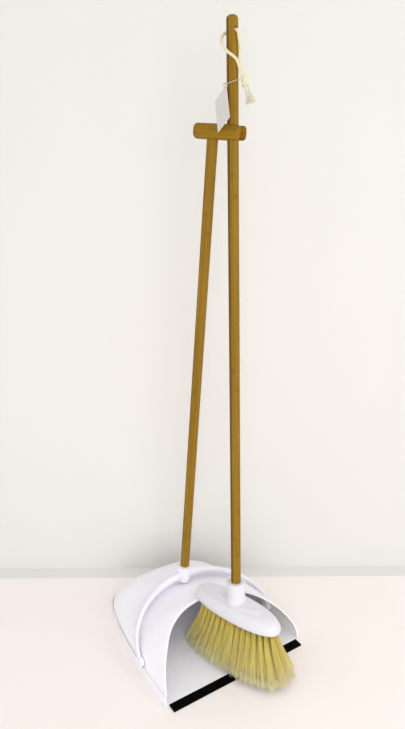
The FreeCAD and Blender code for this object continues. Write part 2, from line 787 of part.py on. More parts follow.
def tuft_sets():
    """The tufts' places on the block, in four named sets.

    A tuft is left out where the head lies over the hood's edge, and where a block screw is.
    """
    outer = oval_spots(value("outer_half_long"), value("outer_half_wide"), OUTER_TUFTS)
    middle = oval_spots(value("middle_half_long"), value("middle_half_wide"), MIDDLE_TUFTS)
    inner = [
        Vector((i - (INNER_TUFTS - 1) / 2) * value("inner_pitch"), 0, 0) for i in range(INNER_TUFTS)
    ]
    inner = [spot for spot in inner if abs(abs(spot.x) - value("block_screw_x")) > value("inner_pitch") / 2]
    sets = {
        "bristles_outer_left": [spot for spot in outer if spot.y < 0],
        "bristles_outer_right": [spot for spot in outer if spot.y > 0],
        "bristles_middle": middle,
        "bristles_inner": inner,
    }
    return {
        label: [spot for spot in spots if head_frame.multVec(spot).y < value("tuft_last")]
        for label, spots in sets.items()
    }


def build_bristles():
    """The block that holds the bristles, its four sets of tufts, and the staples that fold them."""
    blank = feature("block_blank", oval_prism(
        value("block_low"), value("block_top"), value("block_half_long"), value("block_half_wide"),
    ), head_frame)
    sets = tuft_sets()
    every_spot = [spot for spots in sets.values() for spot in spots]
    hole_radius = value("tuft_radius + tuft_clear")
    low, hole_top = value("block_low"), value("tuft_hole_top")
    drills = [
        Part.makeCylinder(hole_radius, hole_top - low + 1, spot + Vector(0, 0, low - 1))
        for spot in every_spot
    ]
    holes = [
        screw_hole(f"block_hole_{i}", "middle_screw", place)
        for i, place in enumerate(block_screws)
    ]
    tuft_holes = feature("tuft_holes", Part.makeCompound(drills), head_frame)
    node(cut("block_drilled", blank, tuft_holes, *holes), "bristle_block")
    pair = doc.addObject("Part::Compound", "block_screw_pair")
    pair.Links = [
        screw(f"block_screw_{i}", "middle_screw", place) for i, place in enumerate(block_screws)
    ]
    node(pair, "block_screws")

    root, drop = value("tuft_root"), value("tuft_drop")
    for label, spots in sets.items():
        tufts = []
        for spot in spots:
            tip = Vector(spot.x * value("flare_long"), spot.y * value("flare_wide"), -drop)
            rings = [
                Part.Wire([Part.makeCircle(radius, centre)]) for radius, centre in (
                    (value("tuft_radius"), spot + Vector(0, 0, root)),
                    (value("tuft_radius"), spot + Vector(0, 0, low - 0.5)),
                    (value("tuft_tip_radius"), tip),
                )
            ]
            tufts.append(Part.makeLoft(rings, True, True))
        node(feature(label + "_tufts", Part.makeCompound(tufts), head_frame), label)

    long, thick = value("staple_long"), value("staple_thick")
    staples = [
        Part.makeBox(
            long, thick, value("staple_high"), spot + Vector(-long / 2, -thick / 2, root + 0.1)
        )
        for spot in every_spot
    ]
    node(feature("staples", Part.makeCompound(staples), head_frame), "tuft_staples")


def build_broom_pole():
    """The broom's bamboo pole, domed at the top, with its hanging hole."""
    rod = revolved_body("broom_rod", broom_pole_frame, [
        ("0", "broom_pole_start"),
        ("pole_radius - 1", "broom_pole_start"),
        ("pole_radius", "broom_pole_start + 1"),
        ("pole_radius", "broom_pole_end"),
        ("0", "broom_pole_end"),
    ])
    top = value("broom_pole_end") - 0.01
    round_edges(rod, rod.Tip, "broom_pole_top", "pole_round", lambda box: box.ZMin > top)
    hole = primitive(
        "Part::Cylinder", "hang_hole",
        broom_pole_frame * Placement(
            Vector(0, 2 * value("pole_radius"), value("broom_pole_end - hang_hole_down")),
            Rotation(Vector(1, 0, 0), 90),
        ),
        Radius="hang_hole_radius", Height="4 * pole_radius",
    )
    drill = screw_hole("broom_pole_screw_hole", "middle_screw", broom_screw)
    node(cut("broom_pole_drilled", rod, hole, drill), "broom_pole")
    node(screw("broom_pole_screw_body", "middle_screw", broom_screw), "broom_pole_screw")


# --- tag and cord -------------------------------------------------------------------------------
def build_tag():
    """A blank card, the thread link through its corner, and the thread loop round the pole."""
    normal = Vector(*CARD_EDGE_WIDE).cross(Vector(*CARD_EDGE_LONG))
    turned = Rotation(Vector(*CARD_EDGE_WIDE), Vector(*CARD_EDGE_LONG), normal, "XZY")
    body = new_body("card", Placement(Vector(*CARD_CORNER), turned))
    sketch = new_sketch(body, "card_outline", "XY_Plane")
    polygon(sketch, [("0", "0"), ("card_wide", "0"), ("card_wide", "card_long"), ("0", "card_long")])
    pad(body, sketch, "card_thick", both_ways=True)
    punched = new_sketch(body, "card_hole", "XY_Plane")
    circle(punched, "card_hole_radius", "card_hole_inset", "card_hole_inset")
    pocket(body, punched, "4 * card_thick", both_ways=True)
    node(body, "hang_tag")

    node(primitive(
        "Part::Torus", "thread_link", Placement(Vector(*LINK_CENTRE), Rotation(Vector(1, 0, 0), 90)),
        Radius1="link_radius", Radius2="thread_radius",
    ), "tag_thread_link")
    node(primitive(
        "Part::Torus", "thread_loop",
        broom_pole_frame * Placement(
            Vector(-value("loop_shift"), 0, value("loop_level")),
            Rotation(Vector(0, 1, 0), -value("loop_tilt")),
        ),
        Radius1="loop_radius", Radius2="thread_radius",
    ), "tag_thread_loop")


def build_cord():
    """The cotton cord: two legs out of the hanging hole, one overhand knot, a frayed tassel."""
    radius = value("cord_radius")
    node(feature("cord_front", tube("cord_leg_front", CORD_LEG_FRONT, radius)), "cord_leg_front")
    node(feature("cord_rear", tube("cord_leg_rear", CORD_LEG_REAR, radius)), "cord_leg_rear")
    node(primitive(
        "Part::Ellipsoid", "knot", Placement(Vector(*KNOT_CENTRE), Rotation(Vector(0, 1, 0), -8)),
        Radius1="knot_half", Radius2="knot_radius", Radius3="knot_radius",
    ), "cord_knot")
    node(primitive(
        "Part::Cone", "tassel", frame(TASSEL_TOP, (1, 0, 0), TASSEL_HEADING),
        Radius1="tassel_top_radius", Radius2="tassel_end_radius", Height="tassel_long",
    ), "cord_tassel")


# --- build, test and write ----------------------------------------------------------------------
build_pan_body()
build_lip_seal()
build_hoop()
build_pan_pole()
build_crossbar()
build_head_shell()
build_bristles()
build_broom_pole()
build_tag()
build_cord()
doc.recompute()

for obj in doc.Objects:
    if "Invalid" in obj.State or "Error" in obj.State:
        raise RuntimeError(f"{obj.Name} ({obj.Label}) failed: {obj.State}")
for obj in nodes:
    if obj.Shape.isNull() or not obj.Shape.isValid() or not obj.Shape.Solids:
        raise RuntimeError(f"{obj.Label} has no valid solid")

os.makedirs(OUT, exist_ok=True)
for obj in nodes:
    obj.Shape.exportStep(f"{OUT}/{obj.Label}.step")
    box = obj.Shape.BoundBox
    print(
        f"{obj.Label:18s} solids {len(obj.Shape.Solids):3d}  volume {obj.Shape.Volume / 1000:9.2f} cm3"
        f"  x {box.XMin:7.1f} {box.XMax:7.1f}  y {box.YMin:7.1f} {box.YMax:7.1f}"
        f"  z {box.ZMin:7.1f} {box.ZMax:7.1f}"
    )
print(len(nodes), "sub-parts")
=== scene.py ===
# %% [markdown]
# # Dust pan and brush set
# The object is a hooded white dustpan on a hoop handle with a bamboo pole, and a soft broom
# that stands in the pan with its own bamboo pole held in a notched crossbar. Most of its
# pieces are hard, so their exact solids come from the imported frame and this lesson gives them
# their finishes. What bends or frays is built here: the bristles and the hanging cord.

# %% Load the frame
import math

import bpy
import numpy as np
from mathutils import Euler, Matrix, Vector


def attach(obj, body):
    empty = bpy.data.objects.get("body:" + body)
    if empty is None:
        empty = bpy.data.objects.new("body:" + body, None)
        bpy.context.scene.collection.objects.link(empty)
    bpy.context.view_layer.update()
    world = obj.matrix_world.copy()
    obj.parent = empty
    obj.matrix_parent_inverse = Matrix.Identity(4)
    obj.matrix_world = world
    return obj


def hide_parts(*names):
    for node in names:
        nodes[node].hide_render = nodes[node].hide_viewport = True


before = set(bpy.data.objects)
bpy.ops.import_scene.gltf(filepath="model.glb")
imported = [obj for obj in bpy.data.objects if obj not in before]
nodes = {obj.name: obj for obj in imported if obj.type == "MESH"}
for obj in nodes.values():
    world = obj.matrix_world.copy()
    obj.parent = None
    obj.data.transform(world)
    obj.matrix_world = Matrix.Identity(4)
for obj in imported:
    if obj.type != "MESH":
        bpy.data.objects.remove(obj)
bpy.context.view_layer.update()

MM = 0.001
rng = np.random.default_rng(7)

# %% [markdown]
# ## Camera
# A camera is easiest to trust when it is described the way a person would place a tripod:
# where it stands, which compass heading it faces, how far it tips down, and how much it
# rolls. Those four turn into one rotation matrix. A 28 mm lens on a 36 mm sensor is a phone's
# usual view, so close to the object the tall poles lean together a little.

# %% Camera
CAMERA_PLACE = (-0.4863, -0.6391, 0.7293)
HEADING, PITCH, ROLL = 33.23, 14.38, -0.056

lens = bpy.data.cameras.new("camera")
lens.lens, lens.sensor_width, lens.sensor_fit = 28.53, 36.0, "AUTO"
lens.clip_start, lens.clip_end = 0.01, 30.0
camera = bpy.data.objects.new("camera", lens)
bpy.context.scene.collection.objects.link(camera)
turn = Matrix.Rotation(math.radians(-HEADING), 4, "Z")
tip = Matrix.Rotation(math.radians(90 - PITCH), 4, "X")
roll = Matrix.Rotation(math.radians(ROLL), 4, "Z")
camera.matrix_world = Matrix.Translation(CAMERA_PLACE) @ turn @ tip @ roll
bpy.context.scene.camera = camera
print("camera looks along", [round(x, 3) for x in camera.matrix_world.to_3x3() @ Vector((0, 0, -1))])

# %% [markdown]
# ## Mesh helpers
# Every new piece is a set of points worked out as whole numpy arrays. A tube is a grid: one
# row of points around each place on its centre line. `tube_grid` numbers the faces of many
# such tubes at once, and closes both ends, so that no mesh has a hole in it.


# %% Mesh helpers
def tube_grid(tubes, rings, sides):
    """Faces of tubes whose points are stored [tube, ring, side]: a quad between each pair of
    neighbouring rings and sides, and one flat face over each end."""
    index = np.arange(tubes * rings * sides).reshape(tubes, rings, sides)
    after = np.roll(index, -1, axis=2)
    walls = np.stack([index[:, :-1], after[:, :-1], after[:, 1:], index[:, 1:]], axis=-1)
    return walls.reshape(-1, 4).tolist() + index[:, 0, ::-1].tolist() + index[:, -1].tolist()


def make_piece(name, points, faces, material, **attributes):
    """A smooth-shaded mesh object at the origin, with one number per point for each attribute."""
    mesh = bpy.data.meshes.new(name)
    mesh.from_pydata(np.asarray(points, float).reshape(-1, 3).tolist(), [], faces)
    mesh.polygons.foreach_set("use_smooth", np.ones(len(mesh.polygons), bool))
    for key, numbers in attributes.items():
        layer = mesh.attributes.new(key, "FLOAT", "POINT")
        layer.data.foreach_set("value", np.asarray(numbers, np.float32).ravel())
    mesh.materials.append(material)
    mesh.update()
    piece = bpy.data.objects.new(name, mesh)
    bpy.context.scene.collection.objects.link(piece)
    print(f"{name}: {len(mesh.vertices)} points, {len(mesh.polygons)} faces")
    return piece


def unit(vectors):
    """Each vector divided by its own length."""
    return vectors / np.linalg.norm(vectors, axis=-1, keepdims=True)


# %% [markdown]
# ## Material helpers
# Materials are node trees. Three small functions keep them readable: one adds a node with its
# settings, one joins two sockets, and one starts a material with its Principled shader. Colours
# are written as the usual 0 to 255 values and turned into the linear values that light needs.


# %% Material helpers
def colour(red, green, blue):
    """Linear colour of an sRGB one: ((c + 0.055) / 1.055) ^ 2.4."""
    return (*(((c / 255 + 0.055) / 1.055) ** 2.4 for c in (red, green, blue)), 1.0)


def add(tree, kind, values=None, **settings):
    """A node of that kind, with its properties and the values of its unlinked inputs."""
    made = tree.nodes.new(kind)
    for key, setting in settings.items():
        setattr(made, key, setting)
    for key, number in (values or {}).items():
        made.inputs[key].default_value = number
    return made


def join(tree, source, target):
    """A link between two sockets."""
    tree.links.new(source, target)


def new_material(name, **values):
    """A material with one Principled shader: its tree and that shader."""
    material = bpy.data.materials.new(name)
    material.use_nodes = True
    tree = material.node_tree
    shader = tree.nodes["Principled BSDF"]
    for key, number in values.items():
        shader.inputs[key.replace("_", " ")].default_value = number
    return material, tree, shader


def new_group(name, inputs, outputs):
    """A node group whose inputs are (name, kind, default) and whose outputs are (name, kind)."""
    group = bpy.data.node_groups.new(name, "ShaderNodeTree")
    for socket, kind, default in inputs:
        made = group.interface.new_socket(socket, in_out="INPUT", socket_type="NodeSocket" + kind)
        if default is not None:
            made.default_value = default
    for socket, kind in outputs:
        group.interface.new_socket(socket, in_out="OUTPUT", socket_type="NodeSocket" + kind)
    return group, group.nodes.new("NodeGroupInput"), group.nodes.new("NodeGroupOutput")


def use_group(tree, group, **values):
    """The group placed in a material's tree with its own values."""
    return add(tree, "ShaderNodeGroup", values=values, node_tree=group)


def ramp(tree, source, low, high, start=0.0, end=1.0):
    """A colour that runs from low to high as the source goes from start to end."""
    made = tree.nodes.new("ShaderNodeValToRGB")
    made.color_ramp.elements[0].position, made.color_ramp.elements[0].color = start, low
    made.color_ramp.elements[1].position, made.color_ramp.elements[1].color = end, high
    join(tree, source, made.inputs["Fac"])
    return made.outputs["Color"]


def between(tree, source, low, high, start=0.0, end=1.0):
    """A number that runs from low to high as the source goes from start to end."""
    limits = {"From Min": start, "From Max": end, "To Min": low, "To Max": high}
    made = add(tree, "ShaderNodeMapRange", limits)
    join(tree, source, made.inputs["Value"])
    return made.outputs["Result"]


def mixed(tree, factor, first, second, mode="MIX"):
    """Two colours mixed by a factor; each may be a socket or a colour."""
    made = add(tree, "ShaderNodeMix", data_type="RGBA", blend_type=mode)
    for value, socket in ((factor, "Factor_Float"), (first, "A_Color"), (second, "B_Color")):
        place = next(s for s in made.inputs if s.identifier == socket)
        if isinstance(value, bpy.types.NodeSocket):
            join(tree, value, place)
        else:
            place.default_value = value
    return next(s for s in made.outputs if s.identifier == "Result_Color")


def bumped(tree, shader, height, distance, strength=1.0):
    """The shader's normal tipped by a height, so that the surface catches light in relief."""
    made = add(tree, "ShaderNodeBump", {"Strength": strength, "Distance": distance})
    join(tree, height, made.inputs["Height"])
    join(tree, made.outputs["Normal"], shader.inputs["Normal"])


def paint(names, material):
    """Gives CAD nodes a material, in place of the plain one they were packed with."""
    for name in names:
        mesh = nodes[name].data
        mesh.materials.clear()
        mesh.materials.append(material)


# %% [markdown]
# ## Shared effects
# Two effects return on several finishes, so each is built once as a node group. *Handling* is
# the faint cloudiness of something that is touched and wiped: a large soft mask and a fine
# speckle. *Grain* is a noise that is stretched along one axis into fibres, for bamboo, and with
# other scales for the brushing on a screw or the felted fibres of card.

# %% Shared effect: handling
handling, enter, leave = new_group(
    "handling",
    [("Vector", "Vector", None), ("Scale", "Float", 9.0)],
    [("Cloud", "Float"), ("Speckle", "Float")],
)
for socket, share, detail in (("Cloud", 1.0, 3.0), ("Speckle", 60.0, 1.0)):
    size = add(handling, "ShaderNodeMath", operation="MULTIPLY", values={1: share})
    join(handling, enter.outputs["Scale"], size.inputs[0])
    noise = add(handling, "ShaderNodeTexNoise", {"Detail": detail, "Roughness": 0.55})
    join(handling, enter.outputs["Vector"], noise.inputs["Vector"])
    join(handling, size.outputs[0], noise.inputs["Scale"])
    join(handling, noise.outputs["Fac"], leave.inputs[socket])

# %% Shared effect: grain
grain, enter, leave = new_group(
    "grain",
    [("Vector", "Vector", None), ("Across", "Float", 900.0), ("Along", "Float", 14.0)],
    [("Streak", "Float"), ("Dash", "Float")],
)
scales = add(grain, "ShaderNodeCombineXYZ")
join(grain, enter.outputs["Across"], scales.inputs["X"])
join(grain, enter.outputs["Across"], scales.inputs["Y"])
join(grain, enter.outputs["Along"], scales.inputs["Z"])
stretched = add(grain, "ShaderNodeVectorMath", operation="MULTIPLY")
join(grain, enter.outputs["Vector"], stretched.inputs[0])
join(grain, scales.outputs["Vector"], stretched.inputs[1])
streak = add(grain, "ShaderNodeTexNoise", {"Scale": 1.0, "Detail": 4.0, "Roughness": 0.6})
join(grain, stretched.outputs["Vector"], streak.inputs["Vector"])
join(grain, streak.outputs["Fac"], leave.inputs["Streak"])
cells = add(grain, "ShaderNodeTexNoise", {"Scale": 1.7, "Detail": 1.0})
join(grain, stretched.outputs["Vector"], cells.inputs["Vector"])
dash = add(grain, "ShaderNodeMapRange", {"From Min": 0.60, "From Max": 0.72})
join(grain, cells.outputs["Fac"], dash.inputs["Value"])
join(grain, dash.outputs["Result"], leave.inputs["Dash"])


# %% Shared effects on a material
def on_object(tree, group, **values):
    """The group placed in a material's tree and fed with the object's own coordinates."""
    made = use_group(tree, group, **values)
    join(tree, add(tree, "ShaderNodeTexCoord").outputs["Object"], made.inputs["Vector"])
    return made


def coloured(tree, shader, source, low, high, start=0.0, end=1.0):
    """The shader's base colour, from low to high as the source goes from start to end."""
    join(tree, ramp(tree, source, colour(*low), colour(*high), start, end), shader.inputs["Base Color"])


# %% [markdown]
# ## White plastic
# The pan, the hoop and the broom's head are moulded in one glossy, slightly cool white. Here
# it has three brightnesses: the pan's is raised, painted light that brightens its shaded inside,
# and the head's is lowered, painted shade. Real moulded plastic is never quite even: the gloss
# wanders and the wide faces are very slightly wavy, which is what breaks up a reflection. So
# the handling cloud feeds the roughness, and a tenth of a millimetre of slow waviness feeds the
# normal.


# %% White plastic
def white_plastic(name, tint, scale):
    """Glossy moulded plastic; scale is how many clouds there are in a metre."""
    material, tree, shader = new_material(name, IOR=1.5, Specular_IOR_Level=0.45)
    touch = on_object(tree, handling, Scale=scale)
    coloured(tree, shader, touch.outputs["Cloud"], [c - 3 for c in tint], tint, 0.35, 0.6)
    join(tree, between(tree, touch.outputs["Cloud"], 0.24, 0.36, 0.3, 0.7), shader.inputs["Roughness"])
    bumped(tree, shader, touch.outputs["Cloud"], 0.0006, 0.5)
    return material


# Three brightnesses of one white: the pan's lighter tint is painted light, the head's darker tint painted
# shade.
paint(["pan_body"], white_plastic("pan_plastic", (247, 246, 252), 12.0))
paint(["hoop_handle"], white_plastic("hoop_plastic", (240, 239, 246), 20.0))
paint(["head_shell"], white_plastic("head_plastic", (226, 225, 231), 20.0))

# %% [markdown]
# The block that holds the bristles is the same plastic unpolished, and the tiny staples, the
# screws, the rubber lip, the card and its thread each get their own small material.

# %% Small finishes
block, tree, shader = new_material("block_plastic", Roughness=0.6)
touch = on_object(tree, handling, Scale=30.0)
coloured(tree, shader, touch.outputs["Cloud"], (214, 211, 203), (228, 225, 218))
bumped(tree, shader, touch.outputs["Speckle"], 0.00008)
paint(["bristle_block"], block)

rubber, tree, shader = new_material("lip_rubber", IOR=1.5, Specular_IOR_Level=0.03)
touch = on_object(tree, handling, Scale=40.0)
coloured(tree, shader, touch.outputs["Speckle"], (4, 4, 4), (9, 9, 9), 0.4, 0.75)
join(tree, between(tree, touch.outputs["Cloud"], 0.55, 0.8), shader.inputs["Roughness"])
bumped(tree, shader, touch.outputs["Speckle"], 0.0001, 0.6)
paint(["lip_seal"], rubber)

steel, tree, shader = new_material("screw_steel", Metallic=1.0)
brush = on_object(tree, grain, Across=3000.0, Along=300.0)
coloured(tree, shader, brush.outputs["Streak"], (182, 182, 184), (214, 213, 210))
join(tree, between(tree, brush.outputs["Streak"], 0.25, 0.5), shader.inputs["Roughness"])
paint(["pan_pole_screw", "crossbar_screw", "broom_pole_screw", "block_screws", "tuft_staples"], steel)

card, tree, shader = new_material("blank_card", Roughness=0.85)
felt = on_object(tree, grain, Across=500.0, Along=260.0)
coloured(tree, shader, felt.outputs["Streak"], (214, 210, 206), (226, 222, 218), 0.3, 0.7)
bumped(tree, shader, felt.outputs["Streak"], 0.00006, 0.7)
paint(["hang_tag"], card)

thread, tree, shader = new_material("waxed_thread", Roughness=0.6)
ply = on_object(tree, grain, Across=2500.0, Along=2500.0)
coloured(tree, shader, ply.outputs["Streak"], (176, 158, 124), (212, 198, 168))
bumped(tree, shader, ply.outputs["Streak"], 0.0001)
paint(["tag_thread_link", "tag_thread_loop"], thread)

# %% [markdown]
# ## Bamboo
# The poles are turned from laminated bamboo: flat strips glued side by side, each with its own
# tone, with fine fibres along it and, every so often, the darker scar of a bamboo joint. The
# pattern has to run along each pole, and the poles lean. A Mapping node of type *Texture*
# turns the object's coordinates into the pole's own: its origin on the pole's line, its Z
# along it. The strips are then slices of the pole's X, the joints are places on its Z, and
# the grain group is stretched along Z. The varnish is thin, so the gloss is low.


# %% Bamboo
def bamboo(name, origin, lean, strip_turn, dark_side, joint_shift):
    """Laminated bamboo for a pole through origin, leaning by the angles lean in degrees.

    The strips are 5 mm slices across the direction strip_turn; the outermost one, past
    dark_side metres from the line, is painted darker: painted shade on the side of the pole
    turned from the light, and in part a darker strip of laminate. joint_shift moves the joints
    along the pole.
    """
    material, tree, shader = new_material(name, IOR=1.5, Specular_IOR_Level=0.18)
    place = add(tree, "ShaderNodeTexCoord").outputs["Object"]
    angles = [math.radians(a) for a in lean]
    along = add(tree, "ShaderNodeMapping", {"Location": origin, "Rotation": angles}, vector_type="TEXTURE")
    join(tree, place, along.inputs["Vector"])
    round_pole = {"Rotation": (0, 0, math.radians(strip_turn))}
    turned = add(tree, "ShaderNodeMapping", round_pole, vector_type="TEXTURE")
    join(tree, along.outputs["Vector"], turned.inputs["Vector"])
    axes = add(tree, "ShaderNodeSeparateXYZ")
    join(tree, turned.outputs["Vector"], axes.inputs["Vector"])

    slices = add(tree, "ShaderNodeMath", operation="SNAP", values={1: 0.005})
    join(tree, axes.outputs["X"], slices.inputs[0])
    tone = add(tree, "ShaderNodeTexWhiteNoise", noise_dimensions="1D")
    join(tree, slices.outputs[0], tone.inputs["W"])

    fibres = use_group(tree, grain, Across=700.0, Along=9.0)
    join(tree, turned.outputs["Vector"], fibres.inputs["Vector"])
    wide = use_group(tree, grain, Across=160.0, Along=5.0)
    join(tree, turned.outputs["Vector"], wide.inputs["Vector"])

    body = ramp(tree, wide.outputs["Streak"], colour(130, 94, 8), colour(167, 131, 28), 0.3, 0.72)
    body = mixed(tree, between(tree, tone.outputs["Value"], 0.0, 0.5), body, colour(142, 104, 12))
    body = mixed(tree, between(tree, fibres.outputs["Streak"], 0.55, 0.0, 0.3, 0.6), body, colour(108, 75, 8))
    body = mixed(tree, between(tree, fibres.outputs["Dash"], 0.0, 0.4), body, colour(90, 60, 10))

    spread = add(tree, "ShaderNodeMath", operation="MULTIPLY_ADD", values={1: 0.09, 2: joint_shift})
    join(tree, tone.outputs["Value"], spread.inputs[0])
    place_along = add(tree, "ShaderNodeMath", operation="ADD")
    join(tree, axes.outputs["Z"], place_along.inputs[0])
    join(tree, spread.outputs[0], place_along.inputs[1])
    repeat = add(tree, "ShaderNodeMath", operation="PINGPONG", values={1: 0.14})
    join(tree, place_along.outputs[0], repeat.inputs[0])
    scar = between(tree, repeat.outputs[0], 1.0, 0.0, 0.0012, 0.0045)
    body = mixed(tree, between(tree, scar, 0.0, 0.3), body, colour(94, 62, 12))

    # Painted shade: the outermost slice on one side is darkened for the shade on the side turned from the
    # light, and in part for a darker laminate strip.
    edge = between(tree, axes.outputs["X"], 0.0, 0.75, dark_side, dark_side + 0.0004)
    body = mixed(tree, edge, body, colour(86, 60, 10))
    join(tree, body, shader.inputs["Base Color"])
    join(tree, between(tree, fibres.outputs["Streak"], 0.5, 0.36), shader.inputs["Roughness"])
    bumped(tree, shader, fibres.outputs["Streak"], 0.00025, 0.6)
    return material


PAN_POLE_LEAN, BROOM_POLE_LEAN, CROSSBAR_LEAN = (6.78, 0.0, 0.0), (-1.268, -0.441, 0.0), (96.01, -3.15, 27.53)
BROOM_PLACE = (0.0203, 0.0316, 0.0870)
paint(["pan_pole"], bamboo("pan_pole_bamboo", (0, 0.1761, 0), PAN_POLE_LEAN, 147.0, 0.0071, 0.05))
paint(["broom_pole"], bamboo("broom_pole_bamboo", BROOM_PLACE, BROOM_POLE_LEAN, 147.0, 0.0048, 0.09))
paint(["crossbar"], bamboo("crossbar_bamboo", (0, 0.0757, 0.8443), CROSSBAR_LEAN, 60.0, 0.02, 0.02))

# %% [markdown]
# ## Bristles
# A broom's bristles are bundles of fine plastic fibre, folded in half and stapled into the
# block, cut level and then *flagged*: the tips are split so that they pick up dust. The CAD
# model keeps one plain tapered solid for each tuft. Here each tuft becomes over a hundred
# fibres. Hair particles could do it, but a mesh stays a mesh in every program, so each fibre
# is a slim three-sided tube, and all the fibres of a set of tufts are computed at once.

# %% The broom head's own frame
HEAD_TURN = -75.9
up = Vector((-math.tan(math.radians(0.441)), math.tan(math.radians(1.268)), 1)).normalized()
ahead = Vector((math.cos(math.radians(HEAD_TURN)), math.sin(math.radians(HEAD_TURN)), 0))
ahead = (ahead - up * ahead.dot(up)).normalized()
beside = up.cross(ahead)
HEAD_AXES = np.array([ahead, beside, up])


def from_head(points):
    """Points of the broom head's frame, in the row frame."""
    return np.array(BROOM_PLACE) + np.asarray(points) @ HEAD_AXES


# %% [markdown]
# The tufts stand on two ovals, one inside the other, and on a line along the middle, and fan
# out downwards. None stands where the head lies over the hood's edge, or where a screw is.

# %% Tuft layout
OUTER_OVAL, MIDDLE_OVAL, OVAL_POWER = (0.0785, 0.0205, 34), (0.066, 0.0102, 26), 2.3
INNER_TUFTS, INNER_PITCH, SCREW_ALONG, LAST_TUFT = 11, 0.011, 0.044, 0.0908
TIP_DOWN, FLARE = 0.0796, (1.325, 2.1)
HOLE_RADIUS, TUFT_END_RADIUS = 0.0032, 0.0092


def oval_spots(half_long, half_wide, count):
    """Places on the oval x = a cos^(2/p), y = b sin^(2/p), with equal lengths of its outline
    between them; the powers keep the sign of the sine and cosine."""
    turn = np.linspace(0, 2 * math.pi, 721)
    wave = np.stack([np.cos(turn), np.sin(turn)], axis=1)
    outline = np.sign(wave) * np.abs(wave) ** (2 / OVAL_POWER) * (half_long, half_wide)
    run = np.concatenate([[0], np.cumsum(np.linalg.norm(np.diff(outline, axis=0), axis=1))])
    return outline[np.searchsorted(run, (np.arange(count) + 0.5) * run[-1] / count)]


def with_height(spots, height):
    """Flat places with that height as their third coordinate."""
    return np.column_stack([spots, np.full(len(spots), height)])


outer = oval_spots(*OUTER_OVAL)
inner_line = (np.arange(INNER_TUFTS) - (INNER_TUFTS - 1) / 2) * INNER_PITCH
inner_line = inner_line[np.abs(np.abs(inner_line) - SCREW_ALONG) > INNER_PITCH / 2]
TUFT_SETS = {
    "outer_left": outer[outer[:, 1] < 0],
    "outer_right": outer[outer[:, 1] > 0],
    "middle": oval_spots(*MIDDLE_OVAL),
    "inner": np.column_stack([inner_line, np.zeros(len(inner_line))]),
}

# %% [markdown]
# Each fibre leaves its hole straight, and bends gently outwards. Its centre line is the
# straight line from root to tip, plus a bow that is largest a third of the way down, so that
# the tuft keeps its neck and opens below it. The fibres get thinner towards the tip, and
# every one has a short finer branch there, the flag.


# %% Fibre builder
def disc(count, radius):
    """Random places spread evenly over a disc: radius times the root of a random share."""
    angle, reach = rng.uniform(0, 2 * math.pi, count), radius * np.sqrt(rng.uniform(0, 1, count))
    return np.stack([reach * np.cos(angle), reach * np.sin(angle), np.zeros(count)], axis=1)


def fibre_points(starts, ends, bow, thick, rings, taper):
    """Three-sided tubes: centre(t) = start + t (end - start) + bow t (1 - t)^2 6.75, radius
    thick (1 - taper t); stored [fibre, ring, side, xyz]."""
    t = np.linspace(0, 1, rings)[None, :, None]
    centre = starts[:, None] + t * (ends - starts)[:, None] + bow[:, None] * t * (1 - t) ** 2 * 6.75
    heading = unit(ends - starts)
    side = unit(np.cross(heading, (0.9, 0.3, 0.1)))
    third = np.cross(heading, side)
    angle = rng.uniform(0, 2 * math.pi, len(starts))[:, None] + np.arange(3) * 2 * math.pi / 3
    around = np.cos(angle)[..., None] * side[:, None] + np.sin(angle)[..., None] * third[:, None]
    radius = (thick * (1 - taper * t))[..., None]
    return centre[:, :, None] + radius * around[:, None], np.broadcast_to(t, (len(starts), rings, 3))


def fibre_piece(name, groups, material):
    """One mesh out of several sets of fibres: each is (points, how far along, tone per fibre)."""
    points, faces, along, tone = [], [], [], []
    count = 0
    for places, share, tones in groups:
        tubes, rings, sides = places.shape[:3]
        faces += [[corner + count for corner in face] for face in tube_grid(tubes, rings, sides)]
        points.append(places.reshape(-1, 3))
        along.append(share.ravel())
        tone.append(np.repeat(tones, rings * sides))
        count += tubes * rings * sides
    return make_piece(
        name, np.concatenate(points), faces, material,
        along=np.concatenate(along), tone=np.concatenate(tone),
    )


# %% Bristle material
bristle, tree, shader = new_material("bristle_fibre", Roughness=0.42, Specular_IOR_Level=0.4)
along = add(tree, "ShaderNodeAttribute", attribute_name="along").outputs["Fac"]
tone = add(tree, "ShaderNodeAttribute", attribute_name="tone").outputs["Fac"]
length = tree.nodes.new("ShaderNodeValToRGB")
length.color_ramp.elements[0].position, length.color_ramp.elements[0].color = 0.0, colour(206, 184, 84)
length.color_ramp.elements[1].position, length.color_ramp.elements[1].color = 1.0, colour(254, 249, 208)
for position, shade in ((0.22, colour(238, 219, 116)), (0.7, colour(248, 234, 148))):
    stop = length.color_ramp.elements.new(position)
    stop.color = shade
join(tree, along, length.inputs["Fac"])
fibre_shade = mixed(tree, between(tree, tone, 0.0, 0.3), length.outputs["Color"], colour(214, 190, 88))
join(tree, fibre_shade, shader.inputs["Base Color"])

